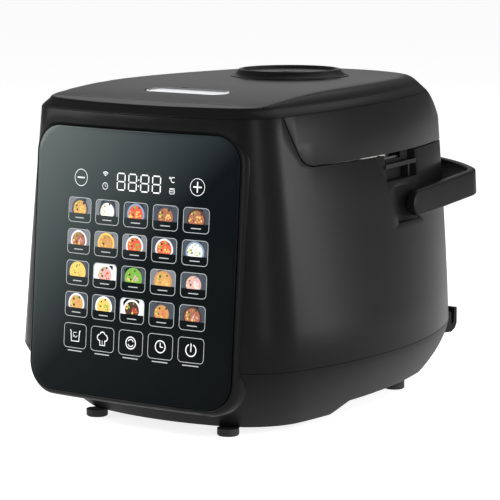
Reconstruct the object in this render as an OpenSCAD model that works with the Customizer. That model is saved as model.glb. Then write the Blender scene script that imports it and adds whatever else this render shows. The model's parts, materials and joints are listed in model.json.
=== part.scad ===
// Countertop multicooker: hinged lid with a chrome latch button and a lift-off steam cap,
// curved touch-glass front, removable cooking pot and a swinging carrying bail.
// Front is -Y, up is +Z, the origin is on the floor under the middle of the object.

/* [Body] */
// Width of the body at the parting line above the base
body_w = 291.4; // [280:0.2:300]
// Width of the body at its top rim
top_w = 241.4; // [236:0.2:248]
// Height of the body's top rim at the front
rim_h = 253; // [245:1:262]
// Height of the parting line between base and body
base_h = 59; // [50:1:64]
// Front face at floor level, measured along Y
front_y = -191.8; // [-196:0.1:-186]
// Backward lean of the front face, in degrees
front_lean = 4.2; // [3:0.1:5]
// Rear face at the parting line
rear_y = 178; // [172:1:180]
// Rear face at the top rim
rear_top_y = 166; // [162:1:170]
// Plan radius of the bulged front face
front_r = 352; // [330:1:380]
// Rise of the top rim towards the rear, per millimetre
rim_rise = 0.016; // [0:0.002:0.02]
// Wall thickness of the plastic shells
wall = 2.6; // [2:0.1:3.2]

/* [Base] */
// Gap between floor and the underside of the base
base_gap = 6; // [5:0.5:8]
// How far the base draws in from the parting line to its underside
base_draw = 42; // [34:1:46]
// Height of the raised rear part of the underside
rear_under_h = 17; // [14:1:20]
// Radius of a foot
foot_r = 8.8; // [7:0.1:11]
// Half the distance between left and right feet
foot_x = 66.5; // [60:0.5:75]

/* [Lid] */
// Height of the seam between body and lid skirt
seam_h = 214; // [210:1:218]
// Gap along every lid seam
seam_gap = 1.2; // [0.8:0.1:1.6]
// Height of the lid plate's edge at the front
plate_h = 259.3; // [257:0.1:262]
// Step in from the rim to the lid plate's edge
plate_step = 7; // [5:0.5:9]
// Height of the lid plate's level top
plate_top = 271; // [270.5:0.1:271.2]
// Hinge axis along Y
hinge_y = 156.5; // [156:0.5:157]
// Hinge axis height
hinge_z = 225; // [224.5:0.5:226]

/* [Touch panel] */
// Width of the glass
glass_w = 200; // [196:1:206]
// Height of the glass along its slope
glass_h = 212; // [205:1:215]
// Distance of the glass's lower edge from the floor, along its slope
glass_low = 29; // [27:0.5:31]
// Corner radius of the glass
glass_corner = 22; // [18:1:26]
// Width of the frame around the glass
frame_w = 2; // [1.5:0.5:3]
// Depth of the frame
frame_depth = 16; // [12:0.5:17]
// Plan radius of the gently curved glass
panel_r = 900; // [800:10:1200]
// Middle of the panel at floor level, measured along Y
panel_y = -182.8; // [-184:0.1:-181]

/* [Pot] */
// Inner radius of the cooking pot
pot_r = 101; // [99:0.5:101]
// Depth of the cooking pot
pot_depth = 129; // [128:1:130]
// Middle of the pot along Y
pot_y = 4; // [0:1:6]

/* [Carrying bail] */
// Pivot of the bail along Y
bail_y = 48.7; // [47:0.1:50]
// Pivot height of the bail
bail_z = 171.3; // [170:0.1:173]
// Upward tilt of the bail at rest, in degrees
bail_tilt = 5.8; // [5:0.1:6]
// Height of the bail strap
bail_h = 21.6; // [18:0.1:23]
// Thickness of the bail strap
bail_t = 7.5; // [6:0.5:8]
// Half the clear width between the bail's arms
bail_x = 122.7; // [122.5:0.1:124]
// Distance from the pivot to the outside of the rear strap
bail_reach = 142.9; // [140:0.1:143]

/* [Steam cap and button] */
// Radius of the steam cap's top
cap_r = 42.4; // [38:0.1:44]
// Height of the steam cap's top
cap_top = 276.5; // [275:0.5:278]
// Middle of the steam cap along Y
cap_y = 45.4; // [42:0.1:48]
// Length of the latch button
button_w = 80; // [70:1:86]
// Depth of the latch button
button_d = 20; // [16:1:24]
// Middle of the latch button along Y
button_y = -97; // [-100:0.5:-94]

/* [Hidden] */
centre_shift = -4.4;    // brings the origin under the middle of the whole object
fine = 96;
clear = 0.3;            // gap kept between touching curved shells
pin_play = 0.05;        // radial play of a running pin
rear_r = 200;
side_r = [403, 600];    // side arcs at the parting line and at the rim
side_mid_y = [-44, -58];
front_corner = [57, 35];
rear_corner = [39, 22];
corner_steps = 7;
lean = tan(front_lean);
base_corner = 55;
base_side_r = 572;
base_front_r = 232;
base_levels = [0, 0.05, 0.25, 0.5, 0.75, 1];
step_front_y = -52;     // the underside steps up between these two places
step_rear_y = -32;
far = 400;              // longer than the whole object
pillar_run = tan(25.6); // slope of the lid's front edge
seam_corner_y = -110;
seam_round = 20;

// Value at a height, drawn straight from the parting line to the rim
function at_height(low, high, z) = low + (high - low) * (z - base_h) / (rim_h - base_h);
function arc(c, r, a0, a1, steps) =
    [for (i = [0:steps]) let (a = a0 + (a1 - a0) * i / steps) c + r * [cos(a), sin(a)]];
function angle_to(c, p) = atan2(p[1] - c[1], p[0] - c[0]);
function left_turn(v) = [-v[1], v[0]];
// Where two circles meet, on the chosen side of the line between their centres
function meet(c1, r1, c2, r2, side) =
    let (d = norm(c2 - c1), a = (r1 * r1 - r2 * r2 + d * d) / (2 * d), h = sqrt(r1 * r1 - a * a))
    c1 + a * (c2 - c1) / d + side * h * left_turn(c2 - c1) / d;
function backwards(list) = [for (i = [len(list) - 1:-1:0]) list[i]];
function mirrored(half) = concat(half, [for (p = backwards(half)) [-p[0], p[1]]]);
function tail(list) = [for (i = [1:len(list) - 1]) list[i]];
// Plan outline of five arcs a side: bulged front, front corner, side, rear corner, rear
function outline(half_w, yf, yr, rf, rs, rr, cf, cr, ys) =
    let (front = [0, yf + rf], side = [half_w - rs, ys], rear = [0, yr - rr],
        k1 = meet(front, rf - cf, side, rs - cf, 1), k2 = meet(rear, rr - cr, side, rs - cr, -1),
        a1 = angle_to(front, k1), a2 = angle_to(side, k1), a3 = angle_to(side, k2),
        a4 = angle_to(rear, k2))
    mirrored(concat(
        tail(arc(front, rf, -90, a1, corner_steps)), tail(arc(k1, cf, a1, a2, corner_steps)),
        tail(arc(side, rs, a2, a3, corner_steps)), tail(arc(k2, cr, a3, a4, corner_steps)),
        tail([for (p = arc(rear, rr, a4, 90, 5)) if (p[0] > 1) p])));
// Outline of the body at a height, drawn in by an inset
function body_outline(z, inset) = outline(
    at_height(body_w, top_w, z) / 2 - inset, front_y + lean * z + inset,
    at_height(rear_y, rear_top_y, z) - inset, front_r - inset,
    at_height(side_r[0], side_r[1], z) - inset, rear_r - inset,
    max(at_height(front_corner[0], front_corner[1], z) - inset, 6),
    max(at_height(rear_corner[0], rear_corner[1], z) - inset, 6),
    at_height(side_mid_y[0], side_mid_y[1], z));
function raise(points, z) = [for (p = points) [p[0], p[1], z]];
// The same, rising towards the rear like the top rim
function rim_at(y, z) = z + rim_rise * (y - front_y - 20);
function raise_rim(points, z) = [for (p = points) [p[0], p[1], rim_at(p[1], z)]];
// Outline of the base, t from 0 at the underside to 1 at the parting line
function base_draw_at(t) = pow(1 - t, 1.3);
function blend(a, b, k) = a + (b - a) * k;
function base_outline(t, inset) = let (k = base_draw_at(t), d = k * base_draw + inset) outline(
    body_w / 2 - d, front_y + lean * base_h + d * 1.1, rear_y - d * 0.95,
    blend(front_r, base_front_r, k) - inset, blend(side_r[0], base_side_r, k) - inset, rear_r - inset,
    blend(front_corner[0], base_corner, k) - inset, blend(rear_corner[0], base_corner, k) - inset,
    side_mid_y[0]);

// Closed solid through a stack of rings that all have the same number of points
module loft(rings) {
    n = len(rings[0]);
    last = (len(rings) - 1) * n;
    sides = [for (k = [0:len(rings) - 2], i = [0:n - 1], half = [0, 1])
        let (a = k * n + i, b = k * n + (i + 1) % n)
        half == 0 ? [a, a + n, b + n] : [a, b + n, b]];
    polyhedron(concat([for (r = rings) each r]),
        concat([[for (i = [0:n - 1]) i]], sides, [[for (i = [n - 1:-1:0]) last + i]]), 10);
}
module body_solid(z0, z1, inset) {
    loft([for (z = [z0, (z0 + z1) / 2, z1]) raise(body_outline(z, inset), z)]);
}
// Body up to the rising rim, less a drop below it
module rimmed_solid(z0, drop, inset) {
    loft([raise(body_outline(z0, inset), z0), raise(body_outline(seam_h, inset), seam_h),
        raise_rim(body_outline(rim_h - drop, inset), rim_h - drop)]);
}
// Solid along X with a profile in Y and Z
module side_profile(points, half_w) {
    rotate([90, 0, 90]) translate([0, 0, -half_w]) linear_extrude(2 * half_w) polygon(points);
}
// Round bar along X
module rod_x(start, r, length) {
    translate(start) rotate([0, 90, 0]) cylinder(r = r, h = length, $fn = fine);
}
// Space behind and above the lid's seam line, moved in by a gap
module lid_space(gap) {
    c = [seam_corner_y + seam_round * tan((90 - 25.6) / 2), seam_h + seam_round];
    r = seam_round - gap;
    start = c + r * [cos(205.6), sin(205.6)];
    top = 60;
    side_profile(concat([start + top * [-pillar_run, 1]],
        [for (i = [0:6]) c + r * [cos(205.6 + 64.4 * i / 6), sin(205.6 + 64.4 * i / 6)]],
        [[far, seam_h + gap], [far, start[1] + top]]), far);
}

// ---- base ----
module underside_step() {
    side_profile([[step_front_y, -1], [step_rear_y, rear_under_h], [far, rear_under_h], [far, -1]], far);
}
module base_solid(inset) {
    span = base_h - base_gap;
    loft([for (t = base_levels) raise(base_outline(t, inset), base_gap + inset + (span - inset) * t)]);
}
module base_vents() {
    for (x = [-42:12:42]) translate([x - 2.5, -20, 0]) cube([5, 70, rear_under_h + 5]);
}
module base_shell() {
    color([0.06, 0.06, 0.065]) difference() {
        base_solid(0);
        difference() {
            base_solid(wall);
            translate([0, 0, wall]) underside_step();
        }
        translate([-far, -far, base_h - 0.1]) cube([2 * far, 2 * far, 20]);
        underside_step();
        base_vents();
        panel_cut();
        foot_screws(2.2);
    }
}
module foot(x, y, top) {
    color([0.05, 0.05, 0.05]) translate([x, y, 0]) rotate_extrude($fn = fine)
        polygon([[0, 0], [foot_r - 1, 0], [foot_r, 1], [foot_r, top - 0.05], [0, top - 0.05]]);
}
front_foot_y = -133;
rear_foot_y = 108.5;
module foot_front_left() { foot(-foot_x, front_foot_y, base_gap); }
module foot_front_right() { foot(foot_x, front_foot_y, base_gap); }
module foot_rear_left() { foot(-foot_x, rear_foot_y, rear_under_h); }
module foot_rear_right() { foot(foot_x, rear_foot_y, rear_under_h); }
screw_places = [[-30, -118], [30, -118], [-40, 126], [40, 126]];
function floor_at(y) = y < 0 ? base_gap : rear_under_h;
module foot_screws(r) {
    for (p = screw_places) translate([p[0], p[1], floor_at(p[1]) - 1]) cylinder(r = r, h = 12, $fn = fine);
}
module base_screws() {
    color([0.6, 0.6, 0.62]) for (p = screw_places) translate([p[0], p[1], floor_at(p[1])]) {
        translate([0, 0, -1.6]) cylinder(r = 3.4, h = 1.6, $fn = fine);
        cylinder(r = 2, h = 9, $fn = fine);
    }
}

// ---- body ----
function rounded(w, h, r, low) = concat(
    arc([w / 2 - r, low + r], r, -90, 0, 6), arc([w / 2 - r, low + h - r], r, 0, 90, 6),
    arc([-w / 2 + r, low + h - r], r, 90, 180, 6), arc([-w / 2 + r, low + r], r, 180, 270, 6));
module panel_place() { translate([0, panel_y, 0]) rotate([-front_lean, 0, 0]) children(); }
// Slab that follows the leaning, bulged front: from depth d0 outwards by t, grown round the glass
module panel_slab(grow, d0, t) {
    panel_place() intersection() {
        translate([0, panel_r, 0]) difference() {
            cylinder(r = panel_r + d0 + t, h = 270, $fn = 360);
            translate([0, 0, -1]) cylinder(r = panel_r + d0, h = 272, $fn = 360);
        }
        rotate([90, 0, 0]) translate([0, 0, -60]) linear_extrude(80)
            polygon(rounded(glass_w + 2 * grow, glass_h + 2 * grow, glass_corner + grow, glass_low - grow));
    }
}
module panel_cut() { panel_slab(frame_w + clear, -frame_depth - clear, 50); }
// Half width of the body's side at a place and height
function side_x(y, z) =
    let (r = at_height(side_r[0], side_r[1], z), d = y - at_height(side_mid_y[0], side_mid_y[1], z))
    at_height(body_w, top_w, z) / 2 - r + sqrt(r * r - d * d);
pocket_y = [18, 62];
pocket_z = [157, 187];
pocket_floor = 119;
slot_y = 35;
slot_l = 62;
slot_z = 192;
slot_depth = 8;
slot_turn = 9.5;
module side_pockets(grow) {
    for (s = [-1, 1]) translate([s > 0 ? pocket_floor - grow : -pocket_floor + grow - 40,
        pocket_y[0] - grow, pocket_z[0] - grow])
        cube([40, pocket_y[1] - pocket_y[0] + 2 * grow, pocket_z[1] - pocket_z[0] + 2 * grow]);
}
module at_slot() {
    translate([side_x(slot_y, slot_z + 10), slot_y, slot_z]) rotate([0, 0, slot_turn]) children();
}
module ladle_slot(grow) {
    at_slot() translate([-slot_depth - grow, -slot_l / 2 - grow, -grow])
        cube([40, slot_l + 2 * grow, seam_h - slot_z + 10 + grow]);
}
console_top = 2.5;
// Space in front of the lid's slanting front edge, drawn forwards by a gap
module console_profile(gap, low) {
    high = rim_h + 12;
    low_y = seam_corner_y + 8 - gap;
    side_profile([[-far, low], [low_y, low], [low_y - pillar_run * (high - low), high], [-far, high]], far);
}
module outer_body() {
    color([0.055, 0.055, 0.06]) difference() {
        union() {
            difference() {
                rimmed_solid(base_h, 0, 0);
                rimmed_solid(base_h - 1, console_top, wall);
                translate([-far, -far, base_h - 2]) cube([2 * far, 2 * far, 2.1]);
            }
            intersection() {
                rimmed_solid(base_h, 0, 1);
                union() {
                    difference() {
                        console_profile(0, seam_h);
                        console_profile(4, seam_h - 1);
                    }
                    side_pockets(wall);
                    ladle_slot(wall);
                    for (s = [-1, 1]) translate([s * pin_start, bail_y, bail_z]) rotate([0, s * 90, 0])
                        cylinder(r = 9, h = 10.5, $fn = fine);
                }
            }
        }
        lid_space(-seam_gap / 2);
        translate([-far, hinge_y - 12, seam_h - 2.4]) cube([2 * far, 80, 30]);
        panel_cut();
        side_pockets(0);
        ladle_slot(0);
        translate([0, pot_y, seam_h - 6]) cylinder(r = 118, h = 60, $fn = fine);
        rod_x([-160, bail_y, bail_z], pivot_r, 320);
        translate([inlet_x - inlet_w / 2 - clear, 120, inlet_z - clear])
            cube([inlet_w + 2 * clear, 80, inlet_h + 2 * clear]);
        translate([-strike_w / 2 - clear, -140, strike_z - clear]) cube([strike_w + 2 * clear, 40,
            3 + 2 * clear]);
        for (x = [-60:10:60], z = [98, 122]) translate([x - 2, 130, z]) cube([4, 80, 18]);
    }
}
frame_lip = 1.2;        // height of the frame's lip in front of its shelf
frame_shelf = 9;        // width of the shelf behind the glass
module panel_frame() {
    color([0.05, 0.05, 0.055]) difference() {
        panel_slab(frame_w, -frame_depth, frame_depth + frame_lip);
        panel_slab(clear, 0, 10);
        panel_slab(-frame_shelf, -frame_depth - 5, 50);
    }
}
module touch_glass() {
    color([0.03, 0.04, 0.045]) panel_slab(0, 0.1, 2.2);
}
module panel_board(w, h, low, y, t) {
    panel_place() translate([-w / 2, y, low]) cube([w, t, h]);
}
module control_board() {
    color([0.1, 0.35, 0.2]) panel_board(150, 166, 48, 22.5, 1.6);
}
module display_module() {
    color([0.12, 0.12, 0.13]) panel_board(60, 24, 184, 9, 13.2);
}
board_z = 16;
module power_board() {
    color([0.1, 0.35, 0.2]) translate([-76, -128, board_z]) cube([78, 62, 1.6]);
}
module relay() { color([0.15, 0.3, 0.6]) translate([-66, -118, board_z + 1.7]) cube([19, 15, 15]); }
module transformer() {
    color([0.75, 0.65, 0.2]) translate([-36, -120, board_z + 1.7]) {
        cube([24, 20, 14]);
        translate([3, -2, 4]) cube([18, 24, 6]);
    }
}
module capacitors() {
    color([0.1, 0.1, 0.12]) for (x = [-62, -46, -30]) translate([x, -82, board_z + 1.7])
        cylinder(r = 5, h = 16, $fn = fine);
}
well_r = pot_r + 9;
deck_z = 209.5;
deck_front_y = -130;
rim_z = 203;
module deck() {
    color([0.07, 0.07, 0.075]) {
        difference() {
            body_solid(deck_z - wall, deck_z, wall + clear);
            translate([0, pot_y, 0]) cylinder(r = well_r, h = 300, $fn = fine);
            translate([-far, -far, 0]) cube([2 * far, far + deck_front_y, 300]);
            side_pockets(wall + clear);
            ladle_slot(wall + clear);
        }
        translate([0, pot_y, 0]) rotate_extrude($fn = fine) polygon([[well_r - 0.5, deck_z - 0.1],
            [well_r, deck_z - 0.1], [well_r + wall, deck_z - wall], [well_r + wall, rim_z - wall],
            [housing_r - 2, rim_z - wall], [housing_r - 2, rim_z], [well_r, rim_z]]);
    }
}
housing_r = pot_r + 5;
housing_low = 52;
module inner_housing() {
    color([0.72, 0.73, 0.74]) translate([0, pot_y, 0]) difference() {
        rotate_extrude($fn = fine) polygon([
            [26, housing_low], [housing_r, housing_low], [housing_r, rim_z - wall - 0.1],
            [housing_r - 1, rim_z - wall - 0.1], [housing_r - 1, housing_low + 1], [26, housing_low + 1]]);
        for (s = [-1, 1]) translate([s * 67, 0, housing_low - 1]) cylinder(r = 7, h = 3, $fn = fine);
    }
}
module heat_band() {
    color([0.5, 0.5, 0.52]) translate([0, pot_y, 120]) difference() {
        cylinder(r = housing_r + 1.6, h = 42, $fn = fine);
        translate([0, 0, -1]) cylinder(r = housing_r + 0.1, h = 44, $fn = fine);
        translate([-4, -housing_r - 10, -1]) cube([8, 20, 44]);
    }
}
heater_top = 72;
module heater_plate() {
    color([0.78, 0.79, 0.8]) translate([0, pot_y, 0]) rotate_extrude($fn = fine) polygon([
        [20, heater_top - 12], [60, heater_top - 12], [60, heater_top - 18], [74, heater_top - 18],
        [74, heater_top - 12], [84, heater_top - 10], [86, heater_top - 2], [84, heater_top], [20,
            heater_top]]);
}
module heater_legs() {
    color([0.7, 0.7, 0.72]) for (a = [90:120:330]) translate([46 * cos(a), pot_y + 46 * sin(a),
        housing_low + 1.1])
        cylinder(r = 4, h = heater_top - 12 - housing_low - 1.2, $fn = fine);
}
module heater_terminals() {
    color([0.85, 0.85, 0.8]) for (s = [-1, 1]) translate([s * 67 - 2.5, pot_y - 1, heater_top - 18]) {
        translate([-0.5, -2.5, -3]) cube([6, 7, 2.9]);
        translate([1, 0, -15]) cube([3, 2, 12.1]);
    }
}
sensor_floor = 34;
module sensor_bracket() {
    color([0.7, 0.7, 0.72]) translate([0, pot_y, 0]) {
        difference() {
            translate([-24, -60, sensor_floor]) cube([48, 120, 1.5]);
            translate([0, 0, sensor_floor - 1]) cylinder(r = 4.3, h = 4, $fn = fine);
        }
        for (s = [-1, 1]) translate([-12, s * 59 - 1, sensor_floor]) cube([24, 2,
            housing_low - sensor_floor - 0.1]);
    }
}
module temperature_sensor() {
    color([0.8, 0.8, 0.82]) translate([0, pot_y, 0]) rotate_extrude($fn = fine) polygon([
        [0, sensor_floor - 6], [4, sensor_floor - 6], [4, 58], [17, 58], [17, heater_top], [15,
            heater_top + 1.7],
        [0, heater_top + 1.7]]);
}
// Coil of round wire with its axis along Z
function coil_point(r, pitch, turns, u) = [r * cos(360 * turns * u), r * sin(360 * turns * u),
    pitch * turns * u];
module coil(r, wire, pitch, turns, steps) {
    n = 6;
    rings = [for (i = [0:steps]) let (u = i / steps, a = 360 * turns * u, p = coil_point(r, pitch, turns, u))
        [for (k = [0:n - 1]) let (b = 360 * k / n)
            p + wire * [cos(b) * cos(a), cos(b) * sin(a), sin(b)]]];
    loft(rings);
}
module sensor_spring() {
    color([0.7, 0.7, 0.72]) translate([0, pot_y, sensor_floor + 2.6]) coil(8, 0.8, 3.6, 5.5, 66);
}
pot_wall = 2;
pot_low = rim_z + 2.2 - pot_depth;
pot_round = 18;
module cooking_pot() {
    inner = pot_r;
    outer = pot_r + pot_wall;
    color([0.2, 0.2, 0.21]) translate([0, pot_y, 0]) rotate_extrude($fn = fine) polygon(concat(
        [[0, pot_low - pot_wall]], arc([outer - pot_round, pot_low - pot_wall + pot_round], pot_round,
            -90, 0, 8),
        [[outer, rim_z + 0.2], [outer + 5, rim_z + 0.2], [outer + 5.6, rim_z + 1.2], [outer + 5,
            rim_z + 2.2],
        [inner, rim_z + 2.2]],
        arc([inner - pot_round + pot_wall, pot_low + pot_round - pot_wall], pot_round - pot_wall, 0, -90, 8),
        [[0, pot_low]]));
}
inlet_x = -30;
inlet_w = 30;
inlet_h = 24;
inlet_z = 66;
module power_inlet() {
    color([0.04, 0.04, 0.04]) translate([inlet_x, 0, inlet_z]) difference() {
        translate([-inlet_w / 2, 149, 0]) cube([inlet_w, 23, inlet_h]);
        translate([-11, 155, 4]) cube([22, 30, 16]);
        for (x = [-7, 0, 7]) translate([x - 1.1, 140, x == 0 ? 12.9 : 8.9]) cube([2.2, 30, 4.2]);
    }
}
module inlet_pins() {
    color([0.85, 0.75, 0.4]) translate([inlet_x, 0, inlet_z]) for (x = [-7, 0, 7])
        translate([x - 1, 147, x == 0 ? 13 : 9]) cube([2, 20, 4]);
}
module cord_hook() {
    color([0.05, 0.05, 0.055]) difference() {
        translate([79, 0, 0]) side_profile([[150, 44], [168, 43], [174, 45.5], [177, 50], [177, 64],
            [172.6, 64],
            [172, 51], [168, 49.5], [168, 60], [150, 68]], 8);
        body_solid(30, 90, -0.1);
    }
}
module ladle_bar() {
    color([0.06, 0.06, 0.065]) at_slot() {
        translate([-3.4, -slot_l / 2, 10.5]) cube([2.6, slot_l, 3.4]);
        translate([-slot_depth, slot_l / 2 - 14, 0]) cube([6, 3, 13.9]);
    }
}
strike_w = 26;
strike_z = 231;
module latch_strike() {
    color([0.8, 0.8, 0.82]) {
        translate([-strike_w / 2, -132, strike_z]) cube([strike_w, 20.5, 3]);
        translate([-strike_w / 2, -134, strike_z - 8]) cube([strike_w, 2, 14]);
    }
}

// ---- hinge ----
knuckle = 46;
module hinge_bracket() {
    color([0.06, 0.06, 0.065]) difference() {
        union() {
            rod_x([-knuckle, hinge_y, hinge_z], 7.5, 2 * knuckle);
            translate([-knuckle, hinge_y - 7.5, deck_z + 0.2]) cube([2 * knuckle, 11, hinge_z - deck_z]);
        }
        rod_x([-100, hinge_y, hinge_z], 3 + pin_play, 200);
        translate([-18, hinge_y - 12, hinge_z - 7.4]) cube([36, 24, 20]);
    }
}
module hinge_pin() {
    color([0.8, 0.8, 0.82]) rod_x([-56, hinge_y, hinge_z], 3, 112);
}
module lid_spring() {
    color([0.75, 0.75, 0.77]) translate([-16, hinge_y, hinge_z]) rotate([0, 90, 0]) coil(4.6, 0.9, 2.2,
        14, 168);
}
arm_x = 51;             // middle and width of the lid's two hinge arms
arm_w = 8;
module lid_hinge_arms() {
    color([0.06, 0.06, 0.065]) difference() {
        intersection() {
            for (s = [-1, 1]) translate([s * arm_x - arm_w / 2, 0, 0]) {
                rod_x([0, hinge_y, hinge_z], 7, arm_w);
                translate([0, hinge_y - 30, hinge_z + 1]) cube([arm_w, 30, 6]);
            }
            bail_room(0);
        }
        rod_x([-100, hinge_y, hinge_z], 3 + pin_play, 200);
    }
}

// ---- carrying bail ----
pivot_r = 4;
pin_start = 109.5;
pin_end = bail_x + bail_t - 2.3;        // the pins end blind inside the bail's arms
bail_corner = 22;
bail_rear_r = 190;
module bail_place() { translate([0, bail_y, bail_z]) rotate([bail_tilt, 0, 0]) children(); }
// Half of one edge of the strap: straight arm, tight corner and bulged rear, drawn in by an inset
function bail_half(inset) = let (x = bail_x + bail_t - inset, r = bail_corner - inset,
    big = bail_rear_r - inset,
        back = bail_reach - bail_rear_r, c = [x - r, back + sqrt(pow(big - r, 2) - pow(x - r, 2))],
        a = atan2(c[1] - back, c[0]))
    concat([[x, 0]], arc(c, r, 0, a, 6), tail(arc([0, back], big, a, 87, 8)));
function bail_line(inset) = mirrored(bail_half(inset));
sweep_gap = 1.2;        // room between the lid and the bail's strap as it swings over
// Everything in front of the bail and inside the sweep of its strap, drawn in by an inset
module bail_room(inset) {
    front = bail_y + bail_h / 2 + 2;
    union() {
        translate([-far, -far, 0]) cube([2 * far, far + front, far]);
        translate([0, bail_y, bail_z]) rotate([0, 90, 0]) rotate_extrude($fn = fine) polygon(concat(
            [[0, -bail_x + 1]], [for (p = bail_half(bail_t + sweep_gap + inset)) [p[1], -p[0]]],
            [for (p = backwards(bail_half(bail_t + sweep_gap + inset))) [p[1], p[0]]], [[0, bail_x - 1]]));
    }
}
module carrying_bail() {
    color([0.05, 0.05, 0.055]) bail_place() difference() {
        union() {
            translate([0, 0, -bail_h / 2]) linear_extrude(bail_h) difference() {
                polygon(bail_line(0));
                polygon(concat([[bail_x, -1]], bail_line(bail_t), [[-bail_x, -1]]));
            }
            for (s = [-1, 1]) translate([s * (bail_x + bail_t / 2), 0, 0]) rotate([0, 90, 0])
                cylinder(r = bail_h / 2, h = bail_t, center = true, $fn = fine);
        }
        rod_x([-pin_end - 0.3, 0, 0], pivot_r + pin_play, 2 * pin_end + 0.6);
    }
}
module pivot_pin(side) {
    color([0.06, 0.06, 0.065]) translate([side * pin_start, bail_y, bail_z]) rotate([0, side * 90, 0])
        cylinder(r = pivot_r, h = pin_end - pin_start, $fn = fine);
}
module pivot_pin_left() { pivot_pin(-1); }
module pivot_pin_right() { pivot_pin(1); }

// ---- lid ----
shoulder_run = 5;
shoulder_steps = [0, 1.2, 3, 6, 10, 20];
// Rings of the lid plate's upper skin, lowered and drawn in by t: the shoulder rises to a level top
function plate_rings(t, low) = let (e = plate_step + t) concat([raise_rim(body_outline(rim_h, e), low)],
    [for (s = shoulder_steps) let (k = 1 - exp(-s / shoulder_run))
        [for (p = body_outline(rim_h, e + s)) [p[0], p[1], blend(rim_at(p[1], plate_h), plate_top, k)
            - t]]]);
crease_y = -140;
crease_z = 261.6;
crown_y = 20;
crown_power = 2.3;
// Height of the lid's crown, which falls off in front of crown_y down to the crease
function crown(y) = plate_top - (plate_top - crease_z) * pow((crown_y - y) / (crown_y - crease_y),
    crown_power);
module plate_limit(t) {
    side_profile(concat([[-far, 200], [-far, plate_h + 0.6 - t], [front_y + lean * rim_h,
        plate_h + 0.6 - t]],
        [for (y = [crease_y:20:crown_y]) [y, crown(y) - t]], [[far, plate_top - t], [far, 200]]), far);
}
module plate_solid(t, low) {
    intersection() {
        loft(plate_rings(t, low));
        plate_limit(t);
        bail_room(t);
    }
}
lid_low = rim_h + 0.4;
button_z = 266.4;
cap_base_r = 50;
cap_seat = plate_top;
module oval(w, d, h) {
    linear_extrude(h) polygon(concat(
        arc([w / 2 - d / 2, 0], d / 2, -90, 90, 12), arc([d / 2 - w / 2, 0], d / 2, 90, 270, 12)));
}
button_slope = 7;
module button_place() { translate([0, button_y, button_z]) rotate([button_slope, 0, 0]) children(); }
module lid_cover() {
    color([0.05, 0.05, 0.055]) difference() {
        union() {
            difference() {
                plate_solid(0, lid_low);
                plate_solid(wall, lid_low - 5);
            }
            translate([0, cap_y, cap_seat - 8]) cylinder(r = cap_base_r + 0.6, h = 8, $fn = fine);
        }
        translate([0, cap_y, 200]) cylinder(r = 40, h = 100, $fn = fine);
        button_place() translate([0, 0, -20]) oval(button_w + 0.8, button_d + 0.8, 40);
    }
}
notch = knuckle + 14;
module hinge_notch() {
    translate([-notch, hinge_y - 12, seam_h - 10]) cube([2 * notch, 60, hinge_z - seam_h + 10 + 10]);
}
module lid_skirt() {
    color([0.055, 0.055, 0.06]) difference() {
        intersection() {
            difference() {
                rimmed_solid(seam_h - 3, 0, 0);
                intersection() {
                    rimmed_solid(seam_h - 4, console_top, wall);
                    bail_room(wall);
                }
                translate([0, pot_y, rim_h - 30]) cylinder(r = 105, h = 60, $fn = fine);
            }
            lid_space(seam_gap / 2);
            bail_room(0);
        }
        hinge_notch();
        translate([-36, -115, rim_h - 6]) cube([72, 32, 20]);
    }
}
liner_z = seam_h + 1.6;
module lid_liner() {
    color([0.12, 0.12, 0.125]) difference() {
        intersection() {
            body_solid(liner_z, rim_h - 4, wall + clear);
            side_profile([[seam_corner_y + 8, liner_z], [seam_corner_y - 8, rim_h - 4], [hinge_y - 14,
                rim_h - 4],
                [hinge_y - 14, liner_z]], far);
            bail_room(wall + clear);
        }
        intersection() {
            body_solid(liner_z + 2.5, rim_h, 2 * wall + clear);
            side_profile([[seam_corner_y + 11, liner_z + 2.5], [seam_corner_y - 6, rim_h],
                [hinge_y - 16, rim_h], [hinge_y - 16, liner_z + 2.5]], far);
        }
        translate([-17, -150, liner_z - 1]) cube([34, 50, 24]);
        translate([0, cap_y, liner_z - 1]) cylinder(r = 12, h = 10, $fn = fine);
        for (s = [-1, 1]) translate([s * 53 - 6.5, hinge_y - 31, hinge_z + 0.5]) cube([13, 32, 30]);
    }
}
module lid_screws() {
    color([0.7, 0.7, 0.72]) for (x = [-84, 84], y = [-68, 84]) translate([x, y, liner_z - 0.8]) {
        cylinder(r = 3, h = 0.75, $fn = fine);
    }
}
inner_lid_z = 210.4;
module inner_lid() {
    color([0.82, 0.83, 0.84]) translate([0, pot_y, inner_lid_z]) difference() {
        cylinder(r = pot_r, h = 1.2, $fn = fine);
        translate([0, cap_y - pot_y, -1]) cylinder(r = 8, h = 4, $fn = fine);
        for (a = [0:60:300]) translate([0, cap_y - pot_y, -1]) rotate([0, 0, a]) translate([15, 0, 0])
            cylinder(r = 2.2, h = 4, $fn = fine);
    }
}
module lid_gasket() {
    color([0.8, 0.8, 0.78]) translate([0, pot_y, 0]) rotate_extrude($fn = fine) polygon([
        [pot_r + 0.2, liner_z - 0.1], [pot_r + 0.2, inner_lid_z - 1], [pot_r + 2, rim_z + 2.5],
        [pot_r + 6.5, rim_z + 2.5], [pot_r + 5, inner_lid_z - 1], [pot_r + 5, liner_z - 0.1]]);
}
module steam_duct() {
    color([0.1, 0.1, 0.1]) translate([0, cap_y, 0]) rotate_extrude($fn = fine) polygon([
        [9, liner_z - 1.5], [11.5, liner_z - 1.5], [11.5, 246], [39.5, 248], [39.5, 262], [37.5, 262],
            [37.5, 250],
        [9, 248]]);
}
module duct_seal() {
    color([0.75, 0.75, 0.72]) translate([0, cap_y, inner_lid_z + 1.3]) difference() {
        cylinder(r = 14, h = liner_z - inner_lid_z - 1.5, $fn = fine);
        translate([0, 0, -1]) cylinder(r = 9, h = 12, $fn = fine);
        translate([0, 0, liner_z - inner_lid_z - 3.1]) cylinder(r = 11.6, h = 12, $fn = fine);
    }
}
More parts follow.
